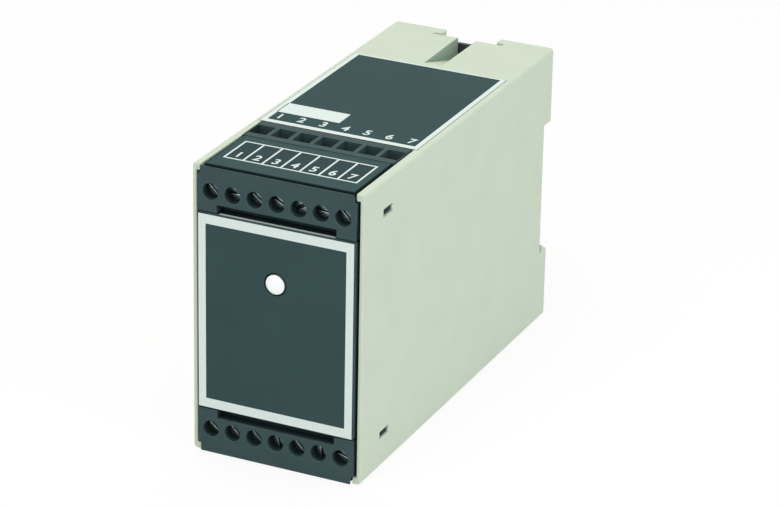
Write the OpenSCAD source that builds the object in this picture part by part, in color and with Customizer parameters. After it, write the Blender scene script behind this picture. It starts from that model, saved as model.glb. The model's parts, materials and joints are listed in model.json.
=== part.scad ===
// Signal isolator for a 35 mm rail: a moulded housing with two rows of screw terminals.
// The front looks along -Y, the rail seat along +Y and Z is up. All sizes are in millimetres.

/* [Terminals] */
// Terminals in each row
ways = 7; // [5:1:9]
// Spacing of the terminals
pitch = 5.8; // [5.5:0.1:6.2]
// Wall between neighbouring chambers
rib_t = 1.1; // [0.9:0.1:1.3]
// Outer wall of the end chambers
end_wall_t = 1.1; // [0.8:0.1:1.4]
// Height of a terminal block
block_h = 11.7; // [11.5:0.1:14]
// Distance of the screw axis from the outer face of the block
screw_drop = 6.4; // [6.1:0.1:6.6]
// Distance that a block stands proud of the side walls
block_proud = 0.8; // [0.4:0.1:1.4]
// Thickness of the wall that holds the screws
screw_wall_t = 9.2; // [7:0.1:10]
// Floor under the chambers
floor_t = 1.1; // [0.8:0.1:1.3]
// Roof over the chambers
roof_t = 2.6; // [2.4:0.1:3]
// Length of a wire well
well_l = 5.4; // [5:0.1:6.5]
// Bar behind the wells
well_bar_t = 2.4; // [2:0.1:3]
// Width of the driver notch beside the cover
notch_w = 31.4; // [20:0.2:34]
// Height of the driver notch
notch_h = 2.1; // [1.5:0.1:2.2]
// Depth of the driver notch
notch_d = 3; // [2:0.1:4]

/* [Screws and clamps] */
// Thread diameter
screw_d = 3; // [2.6:0.1:3.1]
// Screw length under the head
screw_l = 18.4; // [17:0.1:22]
// Head diameter
head_d = 3.9; // [3.6:0.1:4.2]
// Head height
head_h = 1.9; // [1.6:0.1:2.4]
// Depth of the head below the face of the block
head_recess = 2.5; // [1.5:0.1:3]
// Width of the screwdriver slot
slot_w = 0.8; // [0.6:0.1:1]
// Depth of the screwdriver slot
slot_d = 0.9; // [0.6:0.1:1.2]
// Length of a clamp
clamp_l = 13.7; // [12:0.1:14]
// Thickness of the threaded end of a clamp
clamp_nut_t = 2; // [1.5:0.1:2.5]
// Thickness of the far end of a clamp
clamp_end_t = 1.2; // [1:0.1:1.6]
// Thickness of the sides of a clamp
clamp_side_t = 0.5; // [0.4:0.05:0.6]
// Land above and below the thread
clamp_land = 0.7; // [0.5:0.1:0.9]
// Open space for the wire
wire_gap = 3.8; // [3.4:0.1:4.5]
// Thickness of a contact tongue
tongue_t = 1.1; // [0.8:0.1:1.4]
// Thickness of a contact foot
foot_t = 0.8; // [0.6:0.1:1]
// Side of a contact pin
pin_side = 1; // [0.8:0.1:1.2]

/* [Housing] */
// Height of the housing
housing_h = 75; // [72:1:90]
// Depth of the side walls
housing_d = 112; // [108:1:130]
// Thickness of the walls
wall_t = 2.1; // [1.8:0.1:2.4]
// Thickness of the side walls along the terminal bays
bay_wall_t = 1.1; // [0.9:0.1:1.3]
// Height of the rims over the terminal bays
rim_h = 1.9; // [1.6:0.1:2.1]
// Radius of the long outer edges
edge_r = 1; // [0.5:0.1:1.3]
// Thickness of the rear wall
rear_wall_t = 2; // [1.6:0.1:2.4]
// Distance of the latch windows from the top and bottom
window_drop = 8.5; // [8:0.1:9.2]
// Distance of the latch windows from the front edge
window_y = 13.1; // [11:0.1:18]
// Length of a latch window
window_l = 4.8; // [4:0.1:6]
// Height of a latch window
window_h = 1.9; // [1.6:0.1:2.4]
// Distance of the snap tabs from the outer faces
tab_drop = 0.6; // [0.3:0.1:0.7]
// Width of the driver ramp
ramp_w = 4.9; // [4:0.1:6]
// Length of the driver ramp
ramp_l = 21.2; // [16:0.1:21.6]
// Depth of the driver ramp at the rear
ramp_drop = 6; // [5:0.1:7]
// Wall under the driver ramp
ramp_wall_t = 1.6; // [1.2:0.1:2]

/* [Rail seat] */
// Width of the rail
rail_w = 35; // [35:1:35]
// Thickness of the rail flange
rail_t = 1; // [1:0.1:1.5]
// Depth of the middle of the rail below the middle of the housing
rail_drop = 0.8; // [0:0.1:2]
// Room above the rail
rail_room = 0.8; // [0.5:0.1:1.2]
// Depth of the rail seat
hook_d = 4.3; // [4:0.1:5]
// Lip of the hook behind the rail
hook_lip = 1.8; // [1:0.1:2]
// Fall of the hook to the rear
lead_in = 1.9; // [1:0.1:3]
// Width of the latch channel
channel_w = 15.4; // [14:0.2:18]
// Depth of the latch channel
channel_d = 7; // [6.4:0.1:7.6]
// Depth of the latch grooves
groove_d = 2; // [1.5:0.1:2.5]
// Thickness of the latch plate
latch_t = 1; // [0.8:0.1:1.4]
// Travel of the latch
latch_travel = 3; // [2.5:0.1:4]
// Height of the released latch above the top
latch_out = 1.4; // [0.5:0.1:2]
// Bar over the driver hole of the latch
pull_bar_h = 2.8; // [2:0.1:3.2]
// Height of the driver hole
driver_hole_h = 1.6; // [1.2:0.1:2]
// Web between the driver hole and the spring window
latch_web_h = 2.1; // [1.5:0.1:3]
// Bar under the spring window
latch_head_h = 2.9; // [2.5:0.1:3.5]
// Thickness of the nose behind the rail
nose_t = 1.8; // [1.4:0.1:2]
// Height of the nose behind the rail
nose_lip = 1.5; // [1:0.1:2]
// Thickness of the spring shelf
shelf_t = 1.8; // [1.4:0.1:2.2]
// Mean radius of the spring
spring_r = 1.5; // [1.2:0.1:1.6]
// Diameter of the spring wire
spring_wire = 0.45; // [0.3:0.05:0.5]
// Turns of the spring
spring_turns = 6; // [5:1:7]
// Height of the peg in the spring
peg_h = 1; // [0.5:0.1:1.5]

/* [Cover, labels and strips] */
// Distance that the cover stands proud of the side walls
cover_proud = 0.8; // [0.6:0.1:1.4]
// Thickness of the cover
cover_t = 2.2; // [1.6:0.1:2.6]
// Depth of the rim behind the cover
cover_rim_d = 7.6; // [5:0.1:10]
// Thickness of the rim behind the cover
cover_rim_t = 1.4; // [1:0.1:2]
// Corner radius of the cover
cover_r = 0.6; // [0.3:0.1:1]
// Thickness of the label films
label_t = 0.2; // [0.1:0.05:0.3]
// Length of the top label
top_label_l = 53.5; // [40:0.5:53.5]
// Margin of the front label inside the edge of the cover
front_margin = 0.3; // [0.2:0.05:0.6]
// Margin of the top label inside the rounded edges
top_margin = 0.4; // [0.2:0.1:1]
// Gap round the top label in its recess
label_fit = 0.1; // [0.05:0.05:0.3]
// Depth of the printed faces below the outer faces
print_drop = 0.05; // [0.04:0.01:0.1]
// Depth of a marker strip from front to rear
strip_l = 20; // [16:0.1:20.5]
// Thickness of a marker strip
strip_t = 1.3; // [1:0.1:1.4]
// Length of the slope at the front of a marker strip
slope_l = 0.5; // [0.3:0.1:1]
// Fall of the slope
slope_drop = 0.2; // [0.1:0.05:0.4]
// Groove in front of a marker strip
strip_groove = 1.3; // [0.8:0.1:1.6]
// Gap at each end of a marker strip
strip_end = 0.5; // [0.3:0.1:0.7]
// Thickness of the lip in front of the groove
lip_t = 0.3; // [0.25:0.05:0.5]
// Depth of the lip below the outer face of the block
lip_drop = 0.1; // [0.05:0.05:0.3]

/* [Lamp] */
// Diameter of the lamp
lamp_d = 5.6; // [3:0.1:6]
// Height of the lamp above the middle of the housing
lamp_lift = 10.8; // [4:0.1:14]
// Distance that the lamp stands proud of the label
lamp_proud = 0.9; // [0.6:0.1:1]
// Height of the domed end of the lamp
lamp_dome = 1.1; // [1:0.1:1.5]
// Wall of the collar round the lamp
collar_t = 1.5; // [1:0.1:2]
// Depth of the collar behind the cover
collar_d = 3.6; // [3:0.1:5]
// Flange of the lamp, outwards and in thickness
lamp_flange = 0.8; // [0.4:0.1:1]
// Spacing of the lamp leads
lead_gap = 2.54; // [2.54:0.01:2.54]
// Side of a lamp lead
lead_side = 0.5; // [0.4:0.05:0.6]

/* [Boards and components] */
// Thickness of the boards
board_t = 1.6; // [1:0.1:2]
// Distance of the main board from the middle of the housing
board_x = 10.4; // [9:0.1:12]
// Width of the guide ribs and board stops
guide_t = 1.2; // [1:0.1:1.6]
// Height of the guide ribs and board stops
guide_h = 1.8; // [1.2:0.1:2.2]
// Pins in the header
header_pins_n = 12; // [6:1:20]
// Spacing of the header pins
header_pitch = 2.54; // [2:0.01:2.54]
// Length of the header
header_l = 8.4; // [6:0.1:10]
// Length of the transformer bobbin
bobbin_l = 14; // [10:0.5:18]
// Width of the bobbin flanges
bobbin_w = 15; // [13:0.5:18]
// Side of the core's middle leg
core_leg = 6; // [4:0.1:7]
// Window of the core beside the middle leg
core_window = 6; // [5:0.1:8]
// Wall of the bobbin tube
bobbin_wall = 0.9; // [0.7:0.1:1.2]
// Thickness of the bobbin flanges
flange_t = 1.2; // [0.8:0.1:1.6]
// Build of the winding on the bobbin tube
winding_t = 2.8; // [1.5:0.1:3]
// Air gap between the halves of the core
core_gap = 0.1; // [0.05:0.05:0.2]
// Height of the converter block
converter_h = 11; // [8:0.5:16]
// Length of the converter block along the housing
converter_l = 12; // [8:0.5:13]
// Width of the converter block
converter_w = 24; // [16:0.5:28]
// Capacitor diameter
cap_d = 10; // [6:0.5:12]
// Capacitor length
cap_l = 16; // [10:0.5:20]
// Spacing of the components along the main board
part_gap = 14; // [13:0.5:14.5]
// Distance of the outer component rows from the edges of the main board
part_margin = 11.4; // [10:0.1:13]
// Length of a chip
chip_l = 9.6; // [9:0.1:10.5]
// Width of a chip
chip_w = 6.4; // [5:0.1:7.6]
// Thickness of a chip
chip_t = 3.3; // [2.5:0.1:4]
// Height of a chip above the board
chip_stand = 0.6; // [0.4:0.1:1]
// Width of the regulator
reg_w = 10; // [9:0.1:11]
// Thickness of the regulator
reg_t = 4.4; // [4:0.1:5]
// Height of the regulator's body
reg_h = 9; // [8:0.1:10]
// Length of the regulator's legs
reg_leg = 3; // [2:0.1:5]
// Height of the regulator's tab
reg_tab_h = 6; // [5.5:0.1:6.5]
// Thickness of the regulator's tab
reg_tab_t = 1.3; // [1:0.1:1.5]
// Hole in the regulator's tab
reg_hole_d = 3.6; // [3:0.1:3.8]
// Groove round a capacitor
cap_groove = 0.7; // [0.4:0.1:1]
// Width of a trimmer
trimmer_w = 9.5; // [8:0.1:10]
// Thickness of a trimmer
trimmer_t = 4.8; // [4:0.1:6]
// Height of a trimmer above its board
trimmer_h = 10; // [6:0.1:12]
// Diameter of a trimmer screw
trim_screw_d = 2.2; // [1.8:0.1:2.6]
// Distance of the trimmers from the middle of the housing
trimmer_x = 8; // [6:0.5:12]
// Distance of the trimmers below the middle of the housing
trimmer_drop = 7.2; // [0:0.1:12]
// Length of a trimmer screw outside its trimmer
trim_screw_out = 1.5; // [1:0.1:2]
// Length of a trimmer screw inside its trimmer
trim_screw_in = 3; // [2:0.1:5]

/* [Clearances] */
// Gap between a block and the thin side walls
bay_fit = 0.55; // [0.4:0.05:0.7]
// Gap between the block and the rims, the cover, the boards and their seats
seat_fit = 0.2; // [0.1:0.05:0.3]
// Sliding gap on each side
slide_fit = 0.15; // [0.1:0.01:0.2]
// Running gap round a screw
screw_fit = 0.05; // [0.03:0.01:0.08]
// Gap at the ends of a screw
end_fit = 0.1; // [0.05:0.01:0.15]
// Gap round a pin in a board
hole_fit = 0.25; // [0.2:0.01:0.3]

/* [Hidden] */
$fn = 48;
cut = 1;
joined = 0.3;
cream = [0.83, 0.85, 0.76];
slate = [0.24, 0.32, 0.34];
film = [0.2, 0.27, 0.29];
steel = [0.7, 0.71, 0.72];
brass = [0.78, 0.65, 0.32];
board_green = [0.1, 0.42, 0.24];
black = [0.09, 0.09, 0.1];

chamber_w = pitch - rib_t;
block_w = ways * pitch - rib_t + 2 * end_wall_t;
bay_w = block_w + 2 * bay_fit;
housing_w = bay_w + 2 * bay_wall_t;
inner_w = housing_w - 2 * wall_t;
block_top_w = inner_w - 2 * seat_fit;

face_y = -block_proud;
head_y = face_y + head_recess;
shoulder_y = head_y + head_h + end_fit;
tip_y = head_y + head_h + screw_l;
chamber_y = face_y + screw_wall_t;
tongue_y = tip_y + end_fit;
well_y = tongue_y + tongue_t;
clamp_y1 = well_y + wire_gap + clamp_end_t;
clamp_y0 = clamp_y1 - clamp_l;
block_y1 = well_y + well_l + well_bar_t;
bay_d = block_y1 + seat_fit;
clamp_w = chamber_w - 2 * slide_fit;
clamp_h = screw_d + 2 * clamp_land;
clamp_inner_w = clamp_w - 2 * clamp_side_t;
screw_z = housing_h - screw_drop;
block_z = housing_h - block_h;
foot_z = block_z + floor_t;

channel_y = housing_d - channel_d;
cavity_y1 = channel_y - rear_wall_t;
seat_y = housing_d - hook_d;
rail_z0 = housing_h / 2 - rail_drop - rail_w / 2;
rail_z1 = rail_z0 + rail_w;
flange_slot = rail_t + seat_fit;
ramp_y = seat_y - ramp_l;
groove_w = latch_t + 2 * slide_fit;
cheek_x = channel_w / 2 + groove_d + rear_wall_t;
latch_y = seat_y + slide_fit;
latch_z0 = rail_z1 + end_fit;
latch_z1 = housing_h - latch_travel + latch_out;
hole_z = latch_z1 - pull_bar_h - driver_hole_h;
spring_window_z1 = hole_z - latch_web_h;
shelf_z1 = spring_window_z1 - seat_fit;
spring_z0 = latch_z0 + latch_head_h;
spring_z1 = shelf_z1 - shelf_t;
spring_y = latch_y + latch_t / 2;
spring_reach = spring_r + spring_wire / 2;
shelf_w = 2 * spring_reach + seat_fit;

cover_z = block_h + seat_fit;
cover_h = housing_h - 2 * cover_z;
cover_face = -cover_proud;
label_face = cover_face - label_t;
lamp_r = lamp_d / 2;
dome_r = (pow(lamp_r, 2) + pow(lamp_dome, 2)) / (2 * lamp_dome);
lamp_z = housing_h / 2 + lamp_lift;
lamp_tip_y = label_face - lamp_proud;
collar_y = cover_face + cover_t + collar_d;
lamp_l = collar_y + lamp_flange - lamp_tip_y;
top_label_y = bay_d + seat_fit;
top_label_w = housing_w - 2 * edge_r - 2 * top_margin;
label_z = housing_h - print_drop - label_t;
strip_y = face_y + lip_t + strip_groove;
strip_z = housing_h - strip_t;
strip_top = housing_h - print_drop;

board_y = bay_d + guide_t;
board_y1 = board_y + board_t;
main_y = board_y1 + pin_side + seat_fit;
board_z = wall_t + seat_fit;
board_h = housing_h - 2 * board_z;
part_row = board_h / 2 - part_margin;
mid_z = housing_h / 2;
mid_y = (main_y + cavity_y1) / 2;
tube_side = core_leg + 2 * slide_fit + 2 * bobbin_wall;
bobbin_x = -board_x + bobbin_w / 2;
trimmer_y = board_y - trimmer_h;
trimmer_z = mid_z - trimmer_drop;
converter_y = cavity_y1 - seat_fit - converter_l / 2;

front_reach = -lamp_tip_y;
middle_y = (housing_d - front_reach) / 2;

screw_angles = [135, 85, 128, 115, 60, 95, 135, 50, 45, 45, 20, 45, 5, 75];

row = [for (i = [0 : ways - 1]) (i - (ways - 1) / 2) * pitch];
screws = [for (i = [1 : 2 * ways]) str("terminal_screw_", i)];
clamps = [for (i = [1 : 2 * ways]) str("wire_clamp_", i)];

// Puts the middle of the base on the origin.
module placed() translate([0, -middle_y, 0]) children();

// The same thing upside down at the bottom of the housing.
module at_bottom() translate([0, 0, housing_h]) mirror([0, 0, 1]) children();

module at_both() {
    children();
    at_bottom() children();
}

module on_both_sides() {
    children();
    mirror([1, 0, 0]) children();
}

// An outline in X and Z, drawn out from y0 to y1.
module along_y(y0, y1) translate([0, y1, 0]) rotate([90, 0, 0]) linear_extrude(y1 - y0) children();

// An outline in Y and Z, drawn out from x0 to x1.
module along_x(x0, x1) translate([x0, 0, 0]) rotate([90, 0, 90]) linear_extrude(x1 - x0) children();

// Limits at the same distance on both sides of a place.
function around(place, half) = [place - half, place + half];

// A box given by its limits.
module box(x, y, z) translate([x[0], y[0], z[0]]) cube([x[1] - x[0], y[1] - y[0], z[1] - z[0]]);

// A box that is centred on the middle plane.
module centred(w, y, z) box([-w / 2, w / 2], y, z);

// A round bar along Y.
module bar(d, y0, y1, x = 0, z = 0) translate([x, y1, z]) rotate([90, 0, 0]) cylinder(d = d, h = y1 - y0);

module rounded_rect(w, h, r) {
    translate([r - w / 2, 0]) square([w - 2 * r, h]);
    translate([-w / 2, r]) square([w, h - 2 * r]);
    for (x = [r - w / 2, w / 2 - r], z = [r, h - r]) translate([x, z]) circle(r);
}

// Outline of the seat: a slot in front of the lower hook, which falls off to the rear, and a plain upper edge.
module rail_outline() {
    slot_y = seat_y + flange_slot;
    hook_z = rail_z0 + hook_lip;
    polygon([
        [seat_y, rail_z0 - seat_fit], [slot_y, rail_z0 - seat_fit], [slot_y, hook_z],
        [housing_d, hook_z - lead_in], [housing_d + cut, hook_z - lead_in],
        [housing_d + cut, rail_z1 + rail_room], [seat_y, rail_z1 + rail_room]]);
}

// Height of the floor of the driver ramp.
function ramp_floor(y) = housing_h - ramp_drop * (y - ramp_y) / ramp_l;

// A ramp leads a driver blade from the top to the driver hole of the latch.
module ramp_cut() along_x(-ramp_w / 2, ramp_w / 2) polygon([
    [ramp_y, housing_h], [ramp_y, housing_h + cut], [seat_y + cut, housing_h + cut],
    [seat_y + cut, ramp_floor(seat_y)], [seat_y, ramp_floor(seat_y)]]);

module ramp_boss() along_x(-ramp_w / 2 - ramp_wall_t, ramp_w / 2 + ramp_wall_t) polygon([
    [ramp_y, housing_h - wall_t + joined], [cavity_y1 + joined, housing_h - wall_t + joined],
    [cavity_y1 + joined, ramp_floor(cavity_y1) - ramp_wall_t], [ramp_y, housing_h - wall_t]]);

// The channel is deeper where the spring runs, up to the shelf that the spring bears on.
module latch_channel() {
    centred(channel_w, [seat_y, housing_d + cut], [-cut, housing_h + cut]);
    centred(channel_w, [channel_y, seat_y + cut], [-cut, shelf_z1 - joined]);
    centred(channel_w + 2 * groove_d, [seat_y, seat_y + groove_w], [-cut, housing_h + cut]);
}

// The rear blocks beside the channel are hollow.
module cheek_hollow() {
    x = [cheek_x, inner_w / 2];
    box(x, [cavity_y1 - cut, seat_y - rear_wall_t], [wall_t, housing_h - wall_t]);
    box(x, [cavity_y1 - cut, housing_d - rear_wall_t],
        [rail_z1 + rail_room + rear_wall_t, housing_h - wall_t]);
    box(x, [cavity_y1 - cut, housing_d - rear_wall_t], [wall_t, rail_z0 - seat_fit - rear_wall_t]);
}

module latch_window() box(
    [bay_w / 2 - cut, housing_w / 2 + cut],
    [window_y - window_l / 2, window_y + window_l / 2],
    around(housing_h - window_drop, window_h / 2));

// Ribs that guide the main board along the top and bottom walls.
module card_guides() for (x = [-board_x - board_t - slide_fit - guide_t, -board_x + slide_fit])
    box([x, x + guide_t], [board_y1 + guide_h, cavity_y1 + joined],
        [housing_h - wall_t - guide_h, housing_h - wall_t + joined]);

// Ribs behind the edges of the terminal board.
module board_stop() box(
    [inner_w / 2 - guide_h, inner_w / 2 + joined], [board_y1, board_y1 + guide_t],
    [wall_t - joined, housing_h - wall_t + joined]);

module spring_shelf() {
    centred(shelf_w, [channel_y - joined, spring_y + spring_reach], [spring_z1, shelf_z1]);
    translate([0, spring_y, spring_z1 - peg_h]) cylinder(r = spring_r - spring_wire, h = peg_h + joined);
}

module housing() color(cream) {
    difference() {
        along_y(0, housing_d) rounded_rect(housing_w, housing_h, edge_r);
        centred(inner_w, [-cut, cavity_y1], [wall_t, housing_h - wall_t]);
        centred(inner_w, [-cut, bay_d], [-cut, housing_h + cut]);
        centred(bay_w, [-cut, bay_d], [rim_h, housing_h - rim_h]);
        along_x(-housing_w, housing_w) rail_outline();
        latch_channel();
        on_both_sides() cheek_hollow();
        at_both() on_both_sides() latch_window();
        ramp_cut();
        centred(top_label_w + 2 * label_fit,
            [top_label_y - label_fit, top_label_y + top_label_l + label_fit], [label_z, housing_h + cut]);
    }
    difference() {
        ramp_boss();
        ramp_cut();
    }
    at_both() card_guides();
    on_both_sides() board_stop();
    spring_shelf();
}

// A terminal chamber with its wire well, screw bore and head bore.
module chamber_cut(x) {
    box(around(x, chamber_w / 2), [chamber_y, block_y1 + cut], [foot_z, housing_h - roof_t]);
    box(around(x, chamber_w / 2), [well_y, well_y + well_l], [foot_z, housing_h + cut]);
    bar(head_d + 2 * slide_fit, face_y - cut, shoulder_y, x, screw_z);
    bar(screw_d + 2 * seat_fit, shoulder_y - cut, chamber_y + cut, x, screw_z);
}

// A snap tab that sits in a latch window.
module snap_tab() translate([0, 0, housing_h - window_drop - window_h / 2 + seat_fit])
    linear_extrude(window_h - 2 * seat_fit) polygon([
        [block_w / 2 - joined, window_y - window_l / 2 + seat_fit],
        [block_w / 2, window_y - window_l / 2 + seat_fit],
        [housing_w / 2 - tab_drop, window_y],
        [housing_w / 2 - tab_drop, window_y + window_l / 2 - seat_fit],
        [block_w / 2 - joined, window_y + window_l / 2 - seat_fit]]);

module terminal_block() color(slate) {
    difference() {
        union() {
            centred(block_w, [face_y, block_y1], [block_z, housing_h - rim_h - seat_fit]);
            centred(block_top_w, [face_y, block_y1], [block_z, housing_h]);
        }
        for (x = row) chamber_cut(x);
        centred(notch_w, [face_y - cut, face_y + notch_d], [block_z - cut, block_z + notch_h]);
        centred(block_w, [strip_y - strip_groove, strip_y + strip_l + seat_fit], [strip_z, housing_h + cut]);
        centred(block_w, [face_y - cut, strip_y], [housing_h - lip_drop, housing_h + cut]);
    }
    on_both_sides() snap_tab();
}

module marker_strip() color(film) along_x(strip_end - block_top_w / 2, block_top_w / 2 - strip_end) polygon([
    [strip_y, strip_z], [strip_y, strip_top - slope_drop], [strip_y + slope_l, strip_top],
    [strip_y + strip_l, strip_top], [strip_y + strip_l, strip_z]]);

// A tongue in front of the wire, and a foot that runs back to the board.
module contact(x) {
    w = clamp_inner_w - 2 * slide_fit;
    box(around(x, w / 2), [tongue_y, tongue_y + tongue_t], [foot_z, screw_z + clamp_h / 2]);
    box(around(x, w / 2), [tongue_y, block_y1], [foot_z, foot_z + foot_t]);
    box(around(x, pin_side / 2), [block_y1 - joined, board_y1 + pin_side], [foot_z, foot_z + foot_t]);
}

module contacts() color(brass) for (x = row) contact(x);

module terminal_screw(x, angle) color(steel) difference() {
    union() {
        bar(head_d, head_y, head_y + head_h, x, screw_z);
        bar(screw_d, head_y + head_h - joined, tip_y, x, screw_z);
    }
    translate([x, head_y, screw_z]) rotate([0, angle, 0])
        centred(slot_w, [-cut, slot_d], [-head_d, head_d]);
}

// A cage that the screw draws forward, so that its far end presses the wire on the tongue.
module wire_clamp(x) color(steel) difference() {
    box(around(x, clamp_w / 2), [clamp_y0, clamp_y1], around(screw_z, clamp_h / 2));
    box(around(x, clamp_inner_w / 2), [clamp_y0 + clamp_nut_t, clamp_y1 - clamp_end_t],
        around(screw_z, clamp_h));
    bar(screw_d + 2 * screw_fit, clamp_y0 - cut, clamp_y0 + clamp_nut_t + cut, x, screw_z);
}

module cover_outline(margin) translate([0, cover_z + margin])
    rounded_rect(block_w - 2 * margin, cover_h - 2 * margin, cover_r);

module front_cover() color(slate) difference() {
    union() {
        difference() {
            along_y(cover_face, cover_face + cover_t + cover_rim_d) cover_outline(0);
            along_y(cover_face + cover_t, housing_d) cover_outline(cover_rim_t);
        }
        bar(lamp_d + 2 * slide_fit + 2 * collar_t, cover_face + cover_t - joined, collar_y, 0, lamp_z);
    }
    bar(lamp_d + 2 * slide_fit, cover_face - cut, collar_y + cut, 0, lamp_z);
}

module front_label() color(film) difference() {
    along_y(label_face, cover_face) cover_outline(front_margin);
    bar(lamp_d + 2 * slide_fit, label_face - cut, cover_face + cut, 0, lamp_z);
}

module top_label() color(film) centred(
    top_label_w, [top_label_y, top_label_y + top_label_l], [label_z, label_z + label_t]);

module status_led() color("white") translate([0, collar_y + lamp_flange, lamp_z]) rotate([90, 0, 0])
    rotate_extrude() {
        square([lamp_r + lamp_flange, lamp_flange]);
        square([lamp_r, lamp_l - lamp_dome]);
        intersection() {
            translate([0, lamp_l - dome_r]) circle(dome_r);
            square([lamp_r, lamp_l]);
        }
    }

module led_leads() color(steel) for (x = [-lead_gap / 2, lead_gap / 2])
    box(around(x, lead_side / 2), [collar_y + lamp_flange, board_y1 + lead_side],
        around(lamp_z, lead_side / 2));

module terminal_board() color(board_green) difference() {
    centred(inner_w - 2 * seat_fit, [board_y, board_y1], [board_z, board_z + board_h]);
    at_both() for (x = row)
        bar(pin_side + 2 * hole_fit, board_y - cut, board_y1 + cut, x, foot_z + foot_t / 2);
    for (x = [-lead_gap / 2, lead_gap / 2])
        bar(lead_side + 2 * hole_fit, board_y - cut, board_y1 + cut, x, lamp_z);
}

module main_board() color(board_green) box(
    [-board_x - board_t, -board_x], [main_y, cavity_y1 - seat_fit], [board_z, board_z + board_h]);

header_row = [for (i = [0 : header_pins_n - 1]) mid_z + (i - (header_pins_n - 1) / 2) * header_pitch];

// One pin of the header, grown sideways and lengthways.
module header_pin(z, grow, longer) {
    side = lead_side + grow;
    box(around(-board_x + header_pitch / 2, side / 2),
        [board_y1 - longer, board_y1 + header_l + lead_side + longer], around(z, side / 2));
}

module board_header() color(black) difference() {
    box([-board_x, -board_x + header_pitch], [board_y1, board_y1 + header_l],
        around(mid_z, header_pins_n / 2 * header_pitch));
    for (z = header_row) header_pin(z, 2 * slide_fit, cut);
}

module header_pins() color(brass) for (z = header_row) header_pin(z, 0, 0);

// Two halves of a core that meet in the middle of the bobbin.
module transformer_core() color([0.2, 0.2, 0.22]) for (side = [0, 1])
    translate([bobbin_x, mid_y, mid_z]) mirror([0, side, 0]) difference() {
        reach = bobbin_l / 2 + seat_fit;
        tall = core_leg / 2 + core_window;
        box([-core_leg / 2, core_leg / 2], [core_gap / 2, reach + core_leg / 2],
            [-tall - core_leg / 2, tall + core_leg / 2]);
        for (z = [core_leg / 2, -tall]) box([-core_leg, core_leg], [-cut, reach], [z, z + core_window]);
    }

module transformer_bobbin() color([0.85, 0.8, 0.65]) translate([bobbin_x, mid_y, mid_z]) difference() {
    flange_h = core_leg + 2 * core_window - 2 * seat_fit;
    union() {
        centred(tube_side, [-bobbin_l / 2, bobbin_l / 2], [-tube_side / 2, tube_side / 2]);
        for (y = [-bobbin_l / 2, bobbin_l / 2 - flange_t])
            centred(bobbin_w, [y, y + flange_t], [-flange_h / 2, flange_h / 2]);
    }
    bore = core_leg / 2 + slide_fit;
    centred(2 * bore, [-bobbin_l, bobbin_l], [-bore, bore]);
}

module transformer_winding() color([0.72, 0.4, 0.2]) translate([bobbin_x, mid_y, mid_z]) difference() {
    outer = tube_side + 2 * winding_t;
    y = bobbin_l / 2 - flange_t;
    along_y(-y, y) translate([0, -outer / 2]) rounded_rect(outer, outer, winding_t);
    centred(tube_side, [-bobbin_l, bobbin_l], [-tube_side / 2, tube_side / 2]);
}

// A place on the component side of the main board.
module on_board(y, z) translate([-board_x, y, mid_z + z]) children();

columns = [for (i = [-1 : 1]) mid_y + i * part_gap];

module dc_converter() color(black) on_board(converter_y, 0)
    box([0, converter_h], around(0, converter_l / 2), around(0, converter_w / 2));

module smoothing_capacitors() color([0.16, 0.2, 0.36]) for (y = columns)
    on_board(y, -part_row) rotate([0, 90, 0]) difference() {
        cylinder(d = cap_d, h = cap_l);
        translate([0, 0, 3 * cap_groove]) rotate_extrude() translate([cap_d / 2, 0]) circle(cap_groove);
    }

module chip() {
    box([chip_stand, chip_stand + chip_t], around(0, chip_w / 2), around(0, chip_l / 2));
    for (y = around(0, chip_w / 2), i = [-1.5 : 1.5])
        box([0, chip_stand + chip_t / 2], around(y, lead_side), around(i * header_pitch, lead_side));
}

module amplifier_chips() color(black) for (y = columns) on_board(y, part_row) chip();

module voltage_regulator() color(black) on_board(converter_y, part_row) {
    reg_top = reg_leg + reg_h;
    difference() {
        union() {
            box([reg_leg, reg_top], around(0, reg_t / 2), around(0, reg_w / 2));
            box([reg_leg, reg_top + reg_tab_h], [reg_t / 2 - reg_tab_t, reg_t / 2], around(0, reg_w / 2));
        }
        translate([reg_top + reg_tab_h / 2, 0, 0]) rotate([-90, 0, 0]) cylinder(d = reg_hole_d, h = reg_t);
    }
    for (i = [-1 : 1])
        box([0, reg_leg + joined], around(0, lead_side), around(i * header_pitch, lead_side));
}

module trimmer() color([0.15, 0.35, 0.7]) difference() {
    box([-trimmer_w / 2, trimmer_w / 2], [trimmer_y, board_y], around(trimmer_z, trimmer_t / 2));
    bar(trim_screw_d + 2 * screw_fit, trimmer_y - cut, trimmer_y + trim_screw_in + end_fit, 0, trimmer_z);
}

module trimmer_screw() color(brass) difference() {
    bar(trim_screw_d, trimmer_y - trim_screw_out, trimmer_y + trim_screw_in, 0, trimmer_z);
    centred(slot_w / 2, [trimmer_y - trim_screw_out - cut, trimmer_y - trim_screw_out / 2],
        around(trimmer_z, trim_screw_d));
}

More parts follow.
